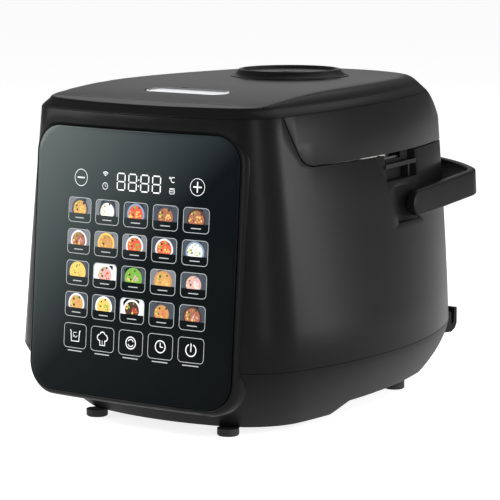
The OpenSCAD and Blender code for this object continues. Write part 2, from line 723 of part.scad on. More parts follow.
module steam_cap() {
    color([0.05, 0.05, 0.055]) translate([0, cap_y, 0]) difference() {
        rotate_extrude($fn = fine) polygon([
            [0, 252], [36, 252], [36, 268], [38.5, cap_seat + 0.1], [cap_base_r, cap_seat + 0.1],
            [cap_base_r - 3, cap_seat + 1], [cap_r + 1.6, cap_top - 2], [cap_r, cap_top], [cap_r - 2.4,
                cap_top],
            [cap_r - 4, cap_top - 2.5], [0, cap_top - 3.4]]);
        translate([-9, -4, 240]) cube([34, 8, 60]);
        translate([0, 0, 251]) cylinder(r = 33, h = 14, $fn = fine);
    }
}
module latch_button() {
    color([0.8, 0.8, 0.82]) {
        button_place() translate([0, 0, -6]) oval(button_w, button_d, 6.4);
        translate([0, button_y, 257]) cylinder(r = 3, h = 5, $fn = fine);
    }
}
module button_springs() {
    color([0.7, 0.7, 0.72]) for (s = [-1, 1]) translate([s * 26, button_y + 1, 249.6]) coil(3, 0.5, 2,
        4.5, 48);
}
hook_y = -83;
hook_z = 246;
module latch_hook() {
    color([0.75, 0.75, 0.77]) difference() {
        union() {
            rod_x([-9, hook_y, hook_z], 4.5, 18);
            side_profile([[hook_y, hook_z + 4], [-95, 256.6], [-101, 256.6], [-101, 250], [-105, 240],
                [-111, 230.2],
                [-111, 225], [-106, 224], [-101, 232], [-96, 241], [hook_y, hook_z - 4]], 8);
        }
        rod_x([-20, hook_y, hook_z], 2 + pin_play, 40);
    }
}
module hook_pin() {
    color([0.8, 0.8, 0.82]) rod_x([-14, hook_y, hook_z], 2, 28);
}

module centred() { translate([0, centre_shift, 0]) children(); }
centred() base_shell();
centred() foot_front_left();
centred() foot_front_right();
centred() foot_rear_left();
centred() foot_rear_right();
centred() base_screws();
centred() outer_body();
centred() panel_frame();
centred() touch_glass();
centred() control_board();
centred() display_module();
centred() power_board();
centred() relay();
centred() capacitors();
centred() transformer();
centred() deck();
centred() inner_housing();
centred() heat_band();
centred() heater_plate();
centred() heater_legs();
centred() heater_terminals();
centred() sensor_bracket();
centred() temperature_sensor();
centred() sensor_spring();
centred() cooking_pot();
centred() power_inlet();
centred() inlet_pins();
centred() cord_hook();
centred() ladle_bar();
centred() latch_strike();
centred() hinge_bracket();
centred() hinge_pin();
centred() lid_spring();
centred() pivot_pin_left();
centred() pivot_pin_right();
centred() carrying_bail();
centred() lid_cover();
centred() lid_skirt();
centred() lid_liner();
centred() lid_hinge_arms();
centred() lid_screws();
centred() inner_lid();
centred() lid_gasket();
centred() steam_duct();
centred() duct_seal();
centred() steam_cap();
centred() latch_button();
centred() button_springs();
centred() latch_hook();
centred() hook_pin();
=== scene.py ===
"""Countertop multicooker: detailed visual model on the CAD frame. Shapes are drawn in millimetres."""
import json
import math
import random

import bmesh
import bpy
from mathutils import Matrix, Vector


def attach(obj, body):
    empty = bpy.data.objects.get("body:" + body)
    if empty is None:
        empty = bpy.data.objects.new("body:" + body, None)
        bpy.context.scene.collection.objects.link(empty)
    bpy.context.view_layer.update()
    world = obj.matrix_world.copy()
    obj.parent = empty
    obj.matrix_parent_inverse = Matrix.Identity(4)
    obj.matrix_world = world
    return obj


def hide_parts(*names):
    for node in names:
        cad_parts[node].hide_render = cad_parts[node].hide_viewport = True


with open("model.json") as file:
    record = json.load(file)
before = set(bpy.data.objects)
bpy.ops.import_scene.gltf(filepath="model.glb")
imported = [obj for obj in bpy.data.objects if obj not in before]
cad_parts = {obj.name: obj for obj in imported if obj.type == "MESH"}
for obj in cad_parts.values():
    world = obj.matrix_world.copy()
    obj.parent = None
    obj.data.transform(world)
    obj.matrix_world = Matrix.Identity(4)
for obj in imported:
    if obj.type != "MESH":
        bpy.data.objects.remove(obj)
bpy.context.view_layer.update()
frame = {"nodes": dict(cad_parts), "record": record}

MM = 0.001
CENTRE_SHIFT = -4.4     # brings the drawn shapes to the frame's origin
SKIN = 0.25             # keeps the finer curves inside the CAD surfaces

# body
BODY_W, TOP_W, RIM_H, BASE_H = 291.4, 241.4, 253, 59
FRONT_Y, LEAN_DEG, REAR_Y, REAR_TOP_Y = -191.8, 4.2, 178, 166
FRONT_R, REAR_R = 352, 200
SIDE_R, SIDE_MID_Y = (403, 600), (-44, -58)
FRONT_CORNER, REAR_CORNER = (57, 35), (39, 22)
RIM_RISE, WALL = 0.016, 2.6
LEAN = math.tan(math.radians(LEAN_DEG))
# base
BASE_GAP, BASE_DRAW, BASE_CORNER, BASE_SIDE_R, BASE_FRONT_R = 6, 42, 55, 572, 232
STEP_FRONT_Y, STEP_REAR_Y, REAR_UNDER_H = -52, -32, 17
# lid
SEAM_H, SEAM_GAP, SEAM_CORNER_Y, SEAM_ROUND = 214, 1.2, -110, 20
PILLAR_DEG = 25.6
PLATE_H, PLATE_STEP, PLATE_TOP, SHOULDER_RUN = 259.3, 7, 271, 5
CREASE_Y, CREASE_Z, CREASE_W, CREASE_DEPTH, CROWN_Y, CROWN_POWER = -140, 261.6, 0.7, 0.8, 20, 2.3
HINGE_Y, HINGE_Z, NOTCH = 156.5, 225, 60
# panel
PANEL_R, PANEL_Y, GLASS_W, GLASS_H, GLASS_LOW, GLASS_CORNER = 900, -182.8, 200, 212, 29, 22
# bail
BAIL_Y, BAIL_Z, BAIL_TILT, BAIL_H, BAIL_T, BAIL_X, BAIL_REACH = 48.7, 171.3, 5.8, 21.6, 7.5, 122.7, 142.9
BAIL_CORNER, BAIL_REAR_R, SWEEP_GAP = 22, 190, 1.2
# steam cap, button, slot and pockets
CAP_Y, CAP_R, CAP_TOP, CAP_BASE_R, SEAT_R, CHAMBER_R = 45.4, 42.4, 276.5, 50, 40, 33
BUTTON_W, BUTTON_D, BUTTON_Y, BUTTON_Z, BUTTON_SLOPE = 80, 20, -97, 266.4, 7
SLOT_Y, SLOT_L, SLOT_Z, SLOT_DEPTH, SLOT_TURN = 35, 62, 192, 8, 9.5
POCKET_Y, POCKET_Z, POCKET_FLOOR = (18, 62), (157, 187), 119
INLET_X, INLET_W, INLET_H, INLET_Z, INLET_PLAY = -30, 30, 24, 66, 0.3
POT_Y, WELL_R, LID_WELL_R = 4, 118, 105
TOP_WALL = 2.5          # thickness of the console's and the skirt's top edge
CONSOLE_WALL = 4        # only a ledge of this wall is left at the seam once the lid's space is cut
FAR = 400               # longer than the whole object
THIN = 0.01             # stands for zero radius on a turned profile
# cooling slots under the base and in the rear wall
BASE_VENT_W, BASE_VENT_Y, BASE_VENT_PLACES = 5, (-20, 50), range(-42, 43, 12)
REAR_VENT_W, REAR_VENT_H, REAR_VENT_Z, REAR_VENT_PLACES = 4, 18, (98, 122), range(-60, 61, 10)


# ---- shapes ----
def blend(a, b, k):
    return a + (b - a) * k


def at_height(pair, z):
    """Value at a height, drawn straight from the parting line to the rim."""
    return blend(pair[0], pair[1], (z - BASE_H) / (RIM_H - BASE_H))


def arc(c, r, a0, a1, steps):
    """Points on a circle from angle a0 to a1, in degrees."""
    angles = [math.radians(blend(a0, a1, i / steps)) for i in range(steps + 1)]
    return [(c[0] + r * math.cos(a), c[1] + r * math.sin(a)) for a in angles]


def meet(c1, r1, c2, r2, side):
    """Where two circles meet, on the chosen side of the line between their centres."""
    c1, c2 = Vector(c1), Vector(c2)
    d = (c2 - c1).length
    a = (r1 * r1 - r2 * r2 + d * d) / (2 * d)
    along = (c2 - c1) / d
    return c1 + a * along + side * math.sqrt(r1 * r1 - a * a) * Vector((-along.y, along.x))


def angle_to(c, p):
    return math.degrees(math.atan2(p[1] - c[1], p[0] - c[0]))


def outline(half_w, yf, yr, rf, rs, rr, cf, cr, ys):
    """Plan outline of five arcs a side: bulged front, front corner, side, rear corner, rear."""
    front, side, rear = (0, yf + rf), (half_w - rs, ys), (0, yr - rr)
    k1 = meet(front, rf - cf, side, rs - cf, 1)
    k2 = meet(rear, rr - cr, side, rs - cr, -1)
    a1, a2, a3, a4 = angle_to(front, k1), angle_to(side, k1), angle_to(side, k2), angle_to(rear, k2)
    half = (arc(front, rf, -90, a1, 14) + arc(k1, cf, a1, a2, 12)[1:] + arc(side, rs, a2, a3, 16)[1:]
            + arc(k2, cr, a3, a4, 12)[1:] + arc(rear, rr, a4, 90, 10)[1:])
    return half + [(-x, y) for x, y in reversed(half[1:-1])]


def body_outline(z, inset):
    return outline(at_height((BODY_W, TOP_W), z) / 2 - inset, FRONT_Y + LEAN * z + inset,
                   at_height((REAR_Y, REAR_TOP_Y), z) - inset, FRONT_R - inset, at_height(SIDE_R, z) - inset,
                   REAR_R - inset, max(at_height(FRONT_CORNER, z) - inset, 6),
                   max(at_height(REAR_CORNER, z) - inset, 6), at_height(SIDE_MID_Y, z))


def rim_at(y, z):
    return z + RIM_RISE * (y - FRONT_Y - 20)


def body_ring(z, inset, rising=False):
    return [(x, y, rim_at(y, z) if rising else z) for x, y in body_outline(z, inset)]


def base_ring(t, inset):
    """Outline of the base, t from 0 at the underside to 1 at the parting line."""
    k = (1 - t) ** 1.3
    d = k * BASE_DRAW + inset
    points = outline(BODY_W / 2 - d, FRONT_Y + LEAN * BASE_H + d * 1.1, REAR_Y - d * 0.95,
                     blend(FRONT_R, BASE_FRONT_R, k) - inset, blend(SIDE_R[0], BASE_SIDE_R, k) - inset,
                     REAR_R - inset, blend(FRONT_CORNER[0], BASE_CORNER, k) - inset,
                     blend(REAR_CORNER[0], BASE_CORNER, k) - inset, SIDE_MID_Y[0])
    z = BASE_GAP + (BASE_H - BASE_GAP) * t + inset * (1 - t)
    return [(x, y, z) for x, y in points]


# ---- meshes ----
def make(name, verts, faces):
    """New object from millimetre points."""
    mesh = bpy.data.meshes.new(name)
    mesh.from_pydata([(x * MM, (y + CENTRE_SHIFT) * MM, z * MM) for x, y, z in verts], [], faces)
    work = bmesh.new()
    work.from_mesh(mesh)
    bmesh.ops.recalc_face_normals(work, faces=work.faces)
    work.to_mesh(mesh)
    work.free()
    obj = bpy.data.objects.new(name, mesh)
    bpy.context.scene.collection.objects.link(obj)
    return obj


def loft(name, rings, closed=False):
    """Skin through a stack of rings with the same number of points, capped unless it closes on itself."""
    n = len(rings[0])
    verts = [p for ring in rings for p in ring]
    spans = len(rings) if closed else len(rings) - 1
    faces = []
    for k in range(spans):
        low, high = k * n, (k + 1) % len(rings) * n
        for i in range(n):
            j = (i + 1) % n
            faces.append((low + i, low + j, high + j, high + i))
    if not closed:
        faces.append(tuple(range(n - 1, -1, -1)))
        faces.append(tuple(range(len(verts) - n, len(verts))))
    return make(name, verts, faces)


def lathe(name, profile, centre_y, steps=128):
    """Closed profile of (radius, height) turned about an upright axis."""
    rings = []
    for i in range(steps):
        a = 2 * math.pi * i / steps
        rings.append([(r * math.cos(a), centre_y + r * math.sin(a), z) for r, z in profile])
    return loft(name, rings, closed=True)


def disc_tool(name, r, low, high, centre_y):
    """Upright cylinder used for cutting."""
    return lathe(name, [(THIN, low), (r, low), (r, high), (THIN, high)], centre_y)


def side_profile(name, points, half_w):
    """Solid along X with a profile in Y and Z."""
    return loft(name, [[(x, y, z) for y, z in points] for x in (-half_w, half_w)])


def block(name, low, high):
    """Box between two corners."""
    corners = [(low[0], low[1]), (high[0], low[1]), (high[0], high[1]), (low[0], high[1])]
    return loft(name, [[(x, y, z) for x, y in corners] for z in (low[2], high[2])])


def turned(obj, pivot, axis, degrees):
    """Turns the object's points about a pivot given in millimetres."""
    place = Vector((pivot[0] * MM, (pivot[1] + CENTRE_SHIFT) * MM, pivot[2] * MM))
    turn = Matrix.Rotation(math.radians(degrees), 4, axis)
    obj.data.transform(Matrix.Translation(place) @ turn @ Matrix.Translation(-place))
    return obj


def bake(obj):
    """Applies the modifiers."""
    evaluated = obj.evaluated_get(bpy.context.evaluated_depsgraph_get())
    mesh = bpy.data.meshes.new_from_object(evaluated)
    obj.modifiers.clear()
    obj.data = mesh
    return obj


def combine(obj, tools, operation):
    for tool in tools:
        step = obj.modifiers.new("shape", "BOOLEAN")
        step.object = tool
        step.operation = operation
        step.solver = "EXACT"
    bake(obj)
    for tool in tools:
        bpy.data.objects.remove(tool)
    return obj


def cut(obj, *tools):
    return combine(obj, tools, "DIFFERENCE")


def keep(obj, *tools):
    return combine(obj, tools, "INTERSECT")


def join(obj, *tools):
    return combine(obj, tools, "UNION")


def smooth_group():
    """Node group that shades smooth and keeps the edges sharper than 32 degrees."""
    group = bpy.data.node_groups.new("smooth_by_angle", "GeometryNodeTree")
    group.interface.new_socket("Geometry", in_out="INPUT", socket_type="NodeSocketGeometry")
    group.interface.new_socket("Geometry", in_out="OUTPUT", socket_type="NodeSocketGeometry")
    start, end = group.nodes.new("NodeGroupInput"), group.nodes.new("NodeGroupOutput")
    faces, edges = [group.nodes.new("GeometryNodeSetShadeSmooth") for _ in range(2)]
    edges.domain = "EDGE"
    angle = group.nodes.new("GeometryNodeInputMeshEdgeAngle")
    small = group.nodes.new("FunctionNodeCompare")
    small.data_type = "FLOAT"
    small.operation = "LESS_THAN"
    small.inputs[1].default_value = math.radians(32)
    group.links.new(start.outputs[0], faces.inputs["Geometry"])
    group.links.new(faces.outputs[0], edges.inputs["Geometry"])
    group.links.new(angle.outputs[0], small.inputs[0])
    group.links.new(small.outputs[0], edges.inputs["Shade Smooth"])
    group.links.new(edges.outputs[0], end.inputs[0])
    return group


SMOOTH = smooth_group()


def soften(obj, bevel):
    """Rounds the sharp edges and shades the rest smooth."""
    if bevel:
        edge = obj.modifiers.new("edges", "BEVEL")
        edge.width = bevel * MM
        edge.segments = 2
        edge.limit_method = "ANGLE"
        edge.angle_limit = math.radians(35)
        edge.miter_outer = "MITER_ARC"
    obj.modifiers.new("smooth", "NODES").node_group = SMOOTH


# ---- materials ----
def material(name, colour, roughness, metallic=0.0, specular=0.5, grain=900, depth=0.02, ior=1.45):
    """Finish with a fine surface grain, and small drifts of tone and gloss."""
    made = bpy.data.materials.new(name)
    made.use_nodes = True
    nodes, links = made.node_tree.nodes, made.node_tree.links
    shader = nodes["Principled BSDF"]
    shader.inputs["Metallic"].default_value = metallic
    shader.inputs["Specular IOR Level"].default_value = specular
    shader.inputs["IOR"].default_value = ior
    place = nodes.new("ShaderNodeTexCoord")
    drift, fine = nodes.new("ShaderNodeTexNoise"), nodes.new("ShaderNodeTexNoise")
    drift.inputs["Scale"].default_value = 14
    drift.inputs["Detail"].default_value = 4
    fine.inputs["Scale"].default_value = grain
    fine.inputs["Detail"].default_value = 2
    tone, gloss = nodes.new("ShaderNodeMix"), nodes.new("ShaderNodeMapRange")
    bump = nodes.new("ShaderNodeBump")
    tone.data_type = "RGBA"
    tone.inputs["A"].default_value = (*[c * 0.93 for c in colour], 1)
    tone.inputs["B"].default_value = (*[min(c * 1.07, 1) for c in colour], 1)
    gloss.inputs["To Min"].default_value = roughness * 0.92
    gloss.inputs["To Max"].default_value = roughness * 1.08
    bump.inputs["Strength"].default_value = depth
    bump.inputs["Distance"].default_value = 0.0004
    for noise in (drift, fine):
        links.new(place.outputs["Object"], noise.inputs["Vector"])
    links.new(drift.outputs["Fac"], tone.inputs["Factor"])
    links.new(drift.outputs["Fac"], gloss.inputs["Value"])
    links.new(fine.outputs["Fac"], bump.inputs["Height"])
    links.new(tone.outputs["Result"], shader.inputs["Base Color"])
    links.new(gloss.outputs["Result"], shader.inputs["Roughness"])
    links.new(bump.outputs["Normal"], shader.inputs["Normal"])
    return made


FINISH = {
    "black_satin": material("black_satin", (0.006, 0.006, 0.0062), 0.34, specular=0.5, depth=0.03, ior=1.13),
    "black_matte": material("black_matte", (0.006, 0.006, 0.0062), 0.44, specular=0.5, depth=0.06, ior=1.13),
    "inner_grey": material("inner_grey", (0.045, 0.045, 0.047), 0.5, specular=0.4, depth=0.06),
    "glass": material("glass", (0.006, 0.009, 0.0095), 0.07, specular=0.4, grain=60, depth=0.002, ior=1.12),
    "chrome": material("chrome", (0.62, 0.63, 0.65), 0.13, metallic=1, depth=0.004),
    "foot_rubber": material("foot_rubber", (0.02, 0.02, 0.02), 0.75, specular=0.25, depth=0.1),
    "steel": material("steel", (0.56, 0.56, 0.57), 0.3, metallic=1, depth=0.03),
    "aluminium": material("aluminium", (0.75, 0.76, 0.77), 0.34, metallic=1, depth=0.05),
    "nonstick": material("nonstick", (0.03, 0.03, 0.032), 0.4, specular=0.5, grain=1500, depth=0.12),
    "silicone": material("silicone", (0.62, 0.61, 0.57), 0.55, specular=0.35, depth=0.05),
    "board": material("board", (0.02, 0.12, 0.05), 0.45, grain=300, depth=0.05),
    "component": material("component", (0.03, 0.03, 0.035), 0.4, grain=300, depth=0.05),
    "coil_copper": material("coil_copper", (0.72, 0.35, 0.16), 0.3, metallic=1, depth=0.1),
    "brass": material("brass", (0.75, 0.58, 0.25), 0.28, metallic=1, depth=0.03),
}


def paint_glass_reflection():
    """Paints a reflection into the glass's colour: it fades from grey green at its upper left to near black.
    """
    tree = FINISH["glass"].node_tree
    shader = tree.nodes["Principled BSDF"]
    place, split = tree.nodes.new("ShaderNodeTexCoord"), tree.nodes.new("ShaderNodeSeparateXYZ")
    along, ramp = tree.nodes.new("ShaderNodeMath"), tree.nodes.new("ShaderNodeValToRGB")
    slide = tree.nodes.new("ShaderNodeMapRange")
    along.operation = "SUBTRACT"
    slide.inputs["From Min"].default_value = -0.04
    slide.inputs["From Max"].default_value = 0.33
    # painted reflection: the ramp's stops are lighter towards the upper left of the glass and near black
    # towards the lower right
    ramp.color_ramp.elements[0].color = (0.002, 0.003, 0.0032, 1)
    ramp.color_ramp.elements[1].color = (0.085, 0.1, 0.098, 1)
    ramp.color_ramp.elements.new(0.45).color = (0.004, 0.0062, 0.0066, 1)
    ramp.color_ramp.elements.new(0.72).color = (0.04, 0.05, 0.05, 1)
    links = tree.links
    links.new(place.outputs["Object"], split.inputs["Vector"])
    links.new(split.outputs["Z"], along.inputs[0])
    links.new(split.outputs["X"], along.inputs[1])
    links.new(along.outputs["Value"], slide.inputs["Value"])
    links.new(slide.outputs["Result"], ramp.inputs["Fac"])
    links.new(ramp.outputs["Color"], shader.inputs["Base Color"])


paint_glass_reflection()


def dress(obj, slot_name, body, *nodes, bevel=0.5):
    """Gives a new piece its finish, its smoothing and its body, and hides the CAD nodes that it stands for.
    """
    obj.data.materials.clear()
    obj.data.materials.append(FINISH[slot_name])
    soften(obj, bevel)
    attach(obj, body)
    if nodes:
        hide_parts(*nodes)
    return obj


# ---- shared cutting tools ----
def rounded(grow, steps=12):
    w, h, r, low = GLASS_W + 2 * grow, GLASS_H + 2 * grow, GLASS_CORNER + grow, GLASS_LOW - grow
    corners = [(w / 2 - r, low + r, -90), (w / 2 - r, low + h - r, 0), (r - w / 2, low + h - r, 90),
               (r - w / 2, low + r, 180)]
    points = []
    for x, y, start in corners:
        points += arc((x, y), r, start, start + 90, steps)
    return points


def finer(points, longest=8):
    """The same closed line with no stretch longer than a limit."""
    line = []
    for a, b in zip(points, points[1:] + points[:1]):
        n = max(1, math.ceil(math.dist(a, b) / longest))
        line += [(blend(a[0], b[0], i / n), blend(a[1], b[1], i / n)) for i in range(n)]
    return line


def on_panel(x, s, d):
    """Point of the curved panel: x across, s up its slope, d in front of the back of the glass."""
    r = PANEL_R + d
    depth = PANEL_R - math.sqrt(r * r - x * x)
    a = math.radians(LEAN_DEG)
    return (x, PANEL_Y + depth * math.cos(a) + s * math.sin(a), s * math.cos(a) - depth * math.sin(a))


def panel_ring(grow, d):
    return [on_panel(x, s, d) for x, s in finer(rounded(grow))]


def panel_cut():
    return loft("panel_cut", [panel_ring(2.3, -16.3), panel_ring(2.3, 40)])


def lid_space(gap):
    """Space behind and above the lid's seam line, moved in by a gap."""
    turn = 90 - PILLAR_DEG
    c = (SEAM_CORNER_Y + SEAM_ROUND * math.tan(math.radians(turn / 2)), SEAM_H + SEAM_ROUND)
    bend = arc(c, SEAM_ROUND - gap, 180 + PILLAR_DEG, 270, 12)
    top = (bend[0][0] - 60 * math.tan(math.radians(PILLAR_DEG)), bend[0][1] + 60)
    return side_profile("lid_space", [top] + bend + [(FAR, SEAM_H + gap), (FAR, top[1])], FAR)


def bail_half(inset, steps=10):
    """Half of one edge of the strap: straight arm, tight corner and bulged rear, drawn in by an inset."""
    x, r, big = BAIL_X + BAIL_T - inset, BAIL_CORNER - inset, BAIL_REAR_R - inset
    back = BAIL_REACH - BAIL_REAR_R
    c = (x - r, back + math.sqrt((big - r) ** 2 - (x - r) ** 2))
    a = math.degrees(math.atan2(c[1] - back, c[0]))
    return arc(c, r, 0, a, steps) + arc((0, back), big, a, 90, 16)[1:]


def bail_room(inset):
    """Everything in front of the bail and inside the sweep of its strap."""
    edge = bail_half(BAIL_T + SWEEP_GAP + inset)
    line = [(BAIL_X - 1, 0)] + edge + [(-x, y) for x, y in reversed(edge[:-1])] + [(1 - BAIL_X, 0)]
    steps = 96
    rings = []
    for i in range(steps):
        a = 2 * math.pi * i / steps
        rings.append([(x, BAIL_Y + max(r, THIN) * math.cos(a), BAIL_Z + max(r, THIN) * math.sin(a))
                      for x, r in line])
    room = loft("room", rings, closed=True)
    front = BAIL_Y + BAIL_H / 2 + 2
    return join(room, block("front", (-FAR, -FAR, 0), (FAR, front, FAR)))


def side_x(y, z):
    r, d = at_height(SIDE_R, z), y - at_height(SIDE_MID_Y, z)
    return at_height((BODY_W, TOP_W), z) / 2 - r + math.sqrt(r * r - d * d)


def slot_cut(grow):
    x = side_x(SLOT_Y, SLOT_Z + 10)
    tool = block("slot", (x - SLOT_DEPTH - grow, SLOT_Y - SLOT_L / 2 - grow, SLOT_Z - grow),
                 (x + 32, SLOT_Y + SLOT_L / 2 + grow, SEAM_H + 10))
    return turned(tool, (x, SLOT_Y, SLOT_Z), "Z", SLOT_TURN)


def pocket_cut(side, grow):
    xs = sorted((side * (POCKET_FLOOR - grow), side * (POCKET_FLOOR + 40)))
    return block("pocket", (xs[0], POCKET_Y[0] - grow, POCKET_Z[0] - grow),
                 (xs[1], POCKET_Y[1] + grow, POCKET_Z[1] + grow))


def console_space(gap, low):
    """Space in front of the lid's slanting front edge."""
    high = RIM_H + 12
    y = SEAM_CORNER_Y + 8 - gap
    far_y = y - math.tan(math.radians(PILLAR_DEG)) * (high - low)
    return side_profile("console", [(-FAR, low), (y, low), (far_y, high), (-FAR, high)], FAR)


def rimmed(name, z0, drop, inset):
    top = RIM_H - drop
    levels = [blend(z0, SEAM_H, i / 5) for i in range(5)] + [SEAM_H, (SEAM_H + top) / 2]
    return loft(name, [body_ring(z, inset) for z in levels] + [body_ring(top, inset, rising=True)])


# ---- body ----
def build_base():
    levels = [0, 0.02, 0.05, 0.1, 0.17, 0.25, 0.35, 0.5, 0.62, 0.75, 0.88, 1]
    rings = [base_ring(t, SKIN) for t in levels]
    rings[-1] = [(x, y, BASE_H - 0.35) for x, y, _ in rings[-1]]
    shell = loft("base_shell_visual", rings)
    hollow = loft("hollow", [base_ring(t, WALL) for t in levels] + [body_ring(BASE_H + 8, WALL)])
    raised = [(STEP_FRONT_Y, -1), (STEP_REAR_Y, REAR_UNDER_H), (FAR, REAR_UNDER_H), (FAR, -1)]
    floor = side_profile("floor", [(y, z + WALL) for y, z in raised], FAR)
    cut(hollow, floor)
    tools = [hollow, side_profile("step", raised, FAR), panel_cut()]
    low_y, high_y = BASE_VENT_Y
    tools += [block("vent", (x - BASE_VENT_W / 2, low_y, 0), (x + BASE_VENT_W / 2, high_y, REAR_UNDER_H + 5))
              for x in BASE_VENT_PLACES]
    dress(cut(shell, *tools), "black_matte", "body", "base_shell", bevel=0.4)


def build_outer():
    shell = rimmed("outer_body_visual", BASE_H, 0, SKIN)
    cut(shell, rimmed("hollow", BASE_H - 1, TOP_WALL, WALL))
    linings = [console_space(0, SEAM_H), pocket_cut(-1, WALL), pocket_cut(1, WALL), slot_cut(WALL)]
    for lining in linings:
        keep(lining, rimmed("inside", BASE_H, 0, 1))
    cut(linings[0], console_space(CONSOLE_WALL, SEAM_H - 1))
    join(shell, *linings)
    tools = [lid_space(-SEAM_GAP / 2), panel_cut(), pocket_cut(-1, 0), pocket_cut(1, 0), slot_cut(0)]
    tools.append(block("hinge", (-FAR, HINGE_Y - 12, SEAM_H - 2.4), (FAR, HINGE_Y + 68, SEAM_H + 28)))
    tools.append(disc_tool("well", WELL_R, SEAM_H - 6, FAR, POT_Y))
    half_w = INLET_W / 2 + INLET_PLAY
    tools.append(block("inlet", (INLET_X - half_w, 120, INLET_Z - INLET_PLAY),
                       (INLET_X + half_w, 200, INLET_Z + INLET_H + INLET_PLAY)))
    for x in REAR_VENT_PLACES:
        left, right = x - REAR_VENT_W / 2, x + REAR_VENT_W / 2
        for z in REAR_VENT_Z:
            tools.append(block("vent", (left, 130, z), (right, 210, z + REAR_VENT_H)))
    dress(cut(shell, *tools), "black_satin", "body", "outer_body", bevel=0.5)


def build_panel():
    rings = []
    for grow, d in [(0.3, -12), (0.3, 0.6), (0.7, 1.15), (1.4, 1.5), (2.2, 1.2), (3.2, 0.2), (4.6, -1.8),
                    (5.4, -5), (5.4, -12)]:
        rings.append(panel_ring(grow, d))
    dress(loft("panel_frame_visual", rings, closed=True), "black_satin", "body", "panel_frame", bevel=0)
    rings = [panel_ring(0, 0.1), panel_ring(0, 1.8), panel_ring(-0.2, 2.1), panel_ring(-0.6, 2.3)]
    middle = GLASS_LOW + GLASS_H / 2
    outer = finer(rounded(-0.6))
    for k in (0.97, 0.9, 0.8, 0.66, 0.5, 0.33, 0.16, 0.04):
        rings.append([on_panel(x * k, middle + (s - middle) * k, 2.3) for x, s in outer])
    dress(loft("touch_glass_visual", rings), "glass", "body", "touch_glass", bevel=0)


def build_bail():
    """Rounded strap swept along its middle line, with rounded ends over the pivots."""
    inset, half_t = BAIL_T / 2 + 0.15, BAIL_T / 2 - 0.15
    half = bail_half(inset, 16)
    x, end_r = BAIL_X + BAIL_T - inset, BAIL_H / 2
    path = [(x, -end_r * math.cos(a), end_r * math.sin(a)) for a in
            [math.radians(d) for d in (8, 16, 26, 38, 50, 62, 75)]]
    path += [(x, y, end_r) for y in (0, 8, 25, 50)] + [(px, py, end_r) for px, py in half]
    path += [(-px, py, h) for px, py, h in reversed(path[:-1])]
    edge = 1.9
    rings = []
    for i, (px, py, h) in enumerate(path):
        before, after = path[max(i - 1, 0)], path[min(i + 1, len(path) - 1)]
        along = Vector((after[0] - before[0], after[1] - before[1])).normalized()
        out = Vector((along.y, -along.x))
        r = min(edge, h * 0.6)
        ring = []
        for cx, cz, start in [(half_t - r, h - r, 0), (r - half_t, h - r, 90), (r - half_t, r - h, 180),
                              (half_t - r, r - h, 270)]:
            ring += [(px + u * out.x, py + u * out.y, v) for u, v in arc((cx, cz), r, start, start + 90, 4)]
        rings.append(ring)
    placed = [[(a, b + BAIL_Y, c + BAIL_Z) for a, b, c in ring] for ring in rings]
    strap = loft("carrying_bail_visual", placed)
    turned(strap, (0, BAIL_Y, BAIL_Z), "X", BAIL_TILT)
    dress(strap, "black_satin", "bail", "carrying_bail", bevel=0)


# ---- lid ----
def lid_top(y):
    """Height of the lid's crown along its middle, with the straight strip in front of the crease."""
    if y > CROWN_Y:
        return PLATE_TOP
    if y > CREASE_Y:
        return PLATE_TOP - (PLATE_TOP - CREASE_Z) * ((CROWN_Y - y) / (CROWN_Y - CREASE_Y)) ** CROWN_POWER
    edge_y = FRONT_Y + LEAN * RIM_H
    return blend(PLATE_H + 0.6, CREASE_Z, max(0, (y - edge_y) / (CREASE_Y - edge_y)))


def soft_min(a, b, width=0.7):
    low = min(a, b)
    return low - width * math.log(math.exp((low - a) / width) + math.exp((low - b) / width))


def lid_height(y, run):
    rise = 1 - math.exp(-run / SHOULDER_RUN)
    return soft_min(blend(rim_at(y, PLATE_H), PLATE_TOP, rise), lid_top(y) + 0.3)


def plate(name, t):
    """Lid plate drawn in by t: sloping band, rounded edge, shoulder and crown."""
    rings = [body_ring(RIM_H, t + inset, rising=True) for inset in (3, 0.9)]
    rings[0] = [(x, y, z - 2 - 3 * t) for x, y, z in rings[0]]
    for inset, up in [(0.6, 0.5), (0.75, 0.9), (3.5, 3.4), (6.2, 5.6)]:
        rings.append([(x, y, rim_at(y, RIM_H + up) - t) for x, y in body_outline(RIM_H, t + inset)])
    for run in (0, 0.6, 1.4, 2.6, 4.2, 6.5, 9.5, 13, 17):
        ring = body_outline(RIM_H, PLATE_STEP + t + run)
        rings.append([(x, y, lid_height(y, run) - t) for x, y in ring])
    last = body_outline(RIM_H, PLATE_STEP + t + 17)
    for k in [1 - i / 22 for i in range(1, 22)]:
        rings.append([(x * k, y * k, lid_height(y * k, 17 + 110 * (1 - k)) - t) for x, y in last])
    return loft(name, rings)


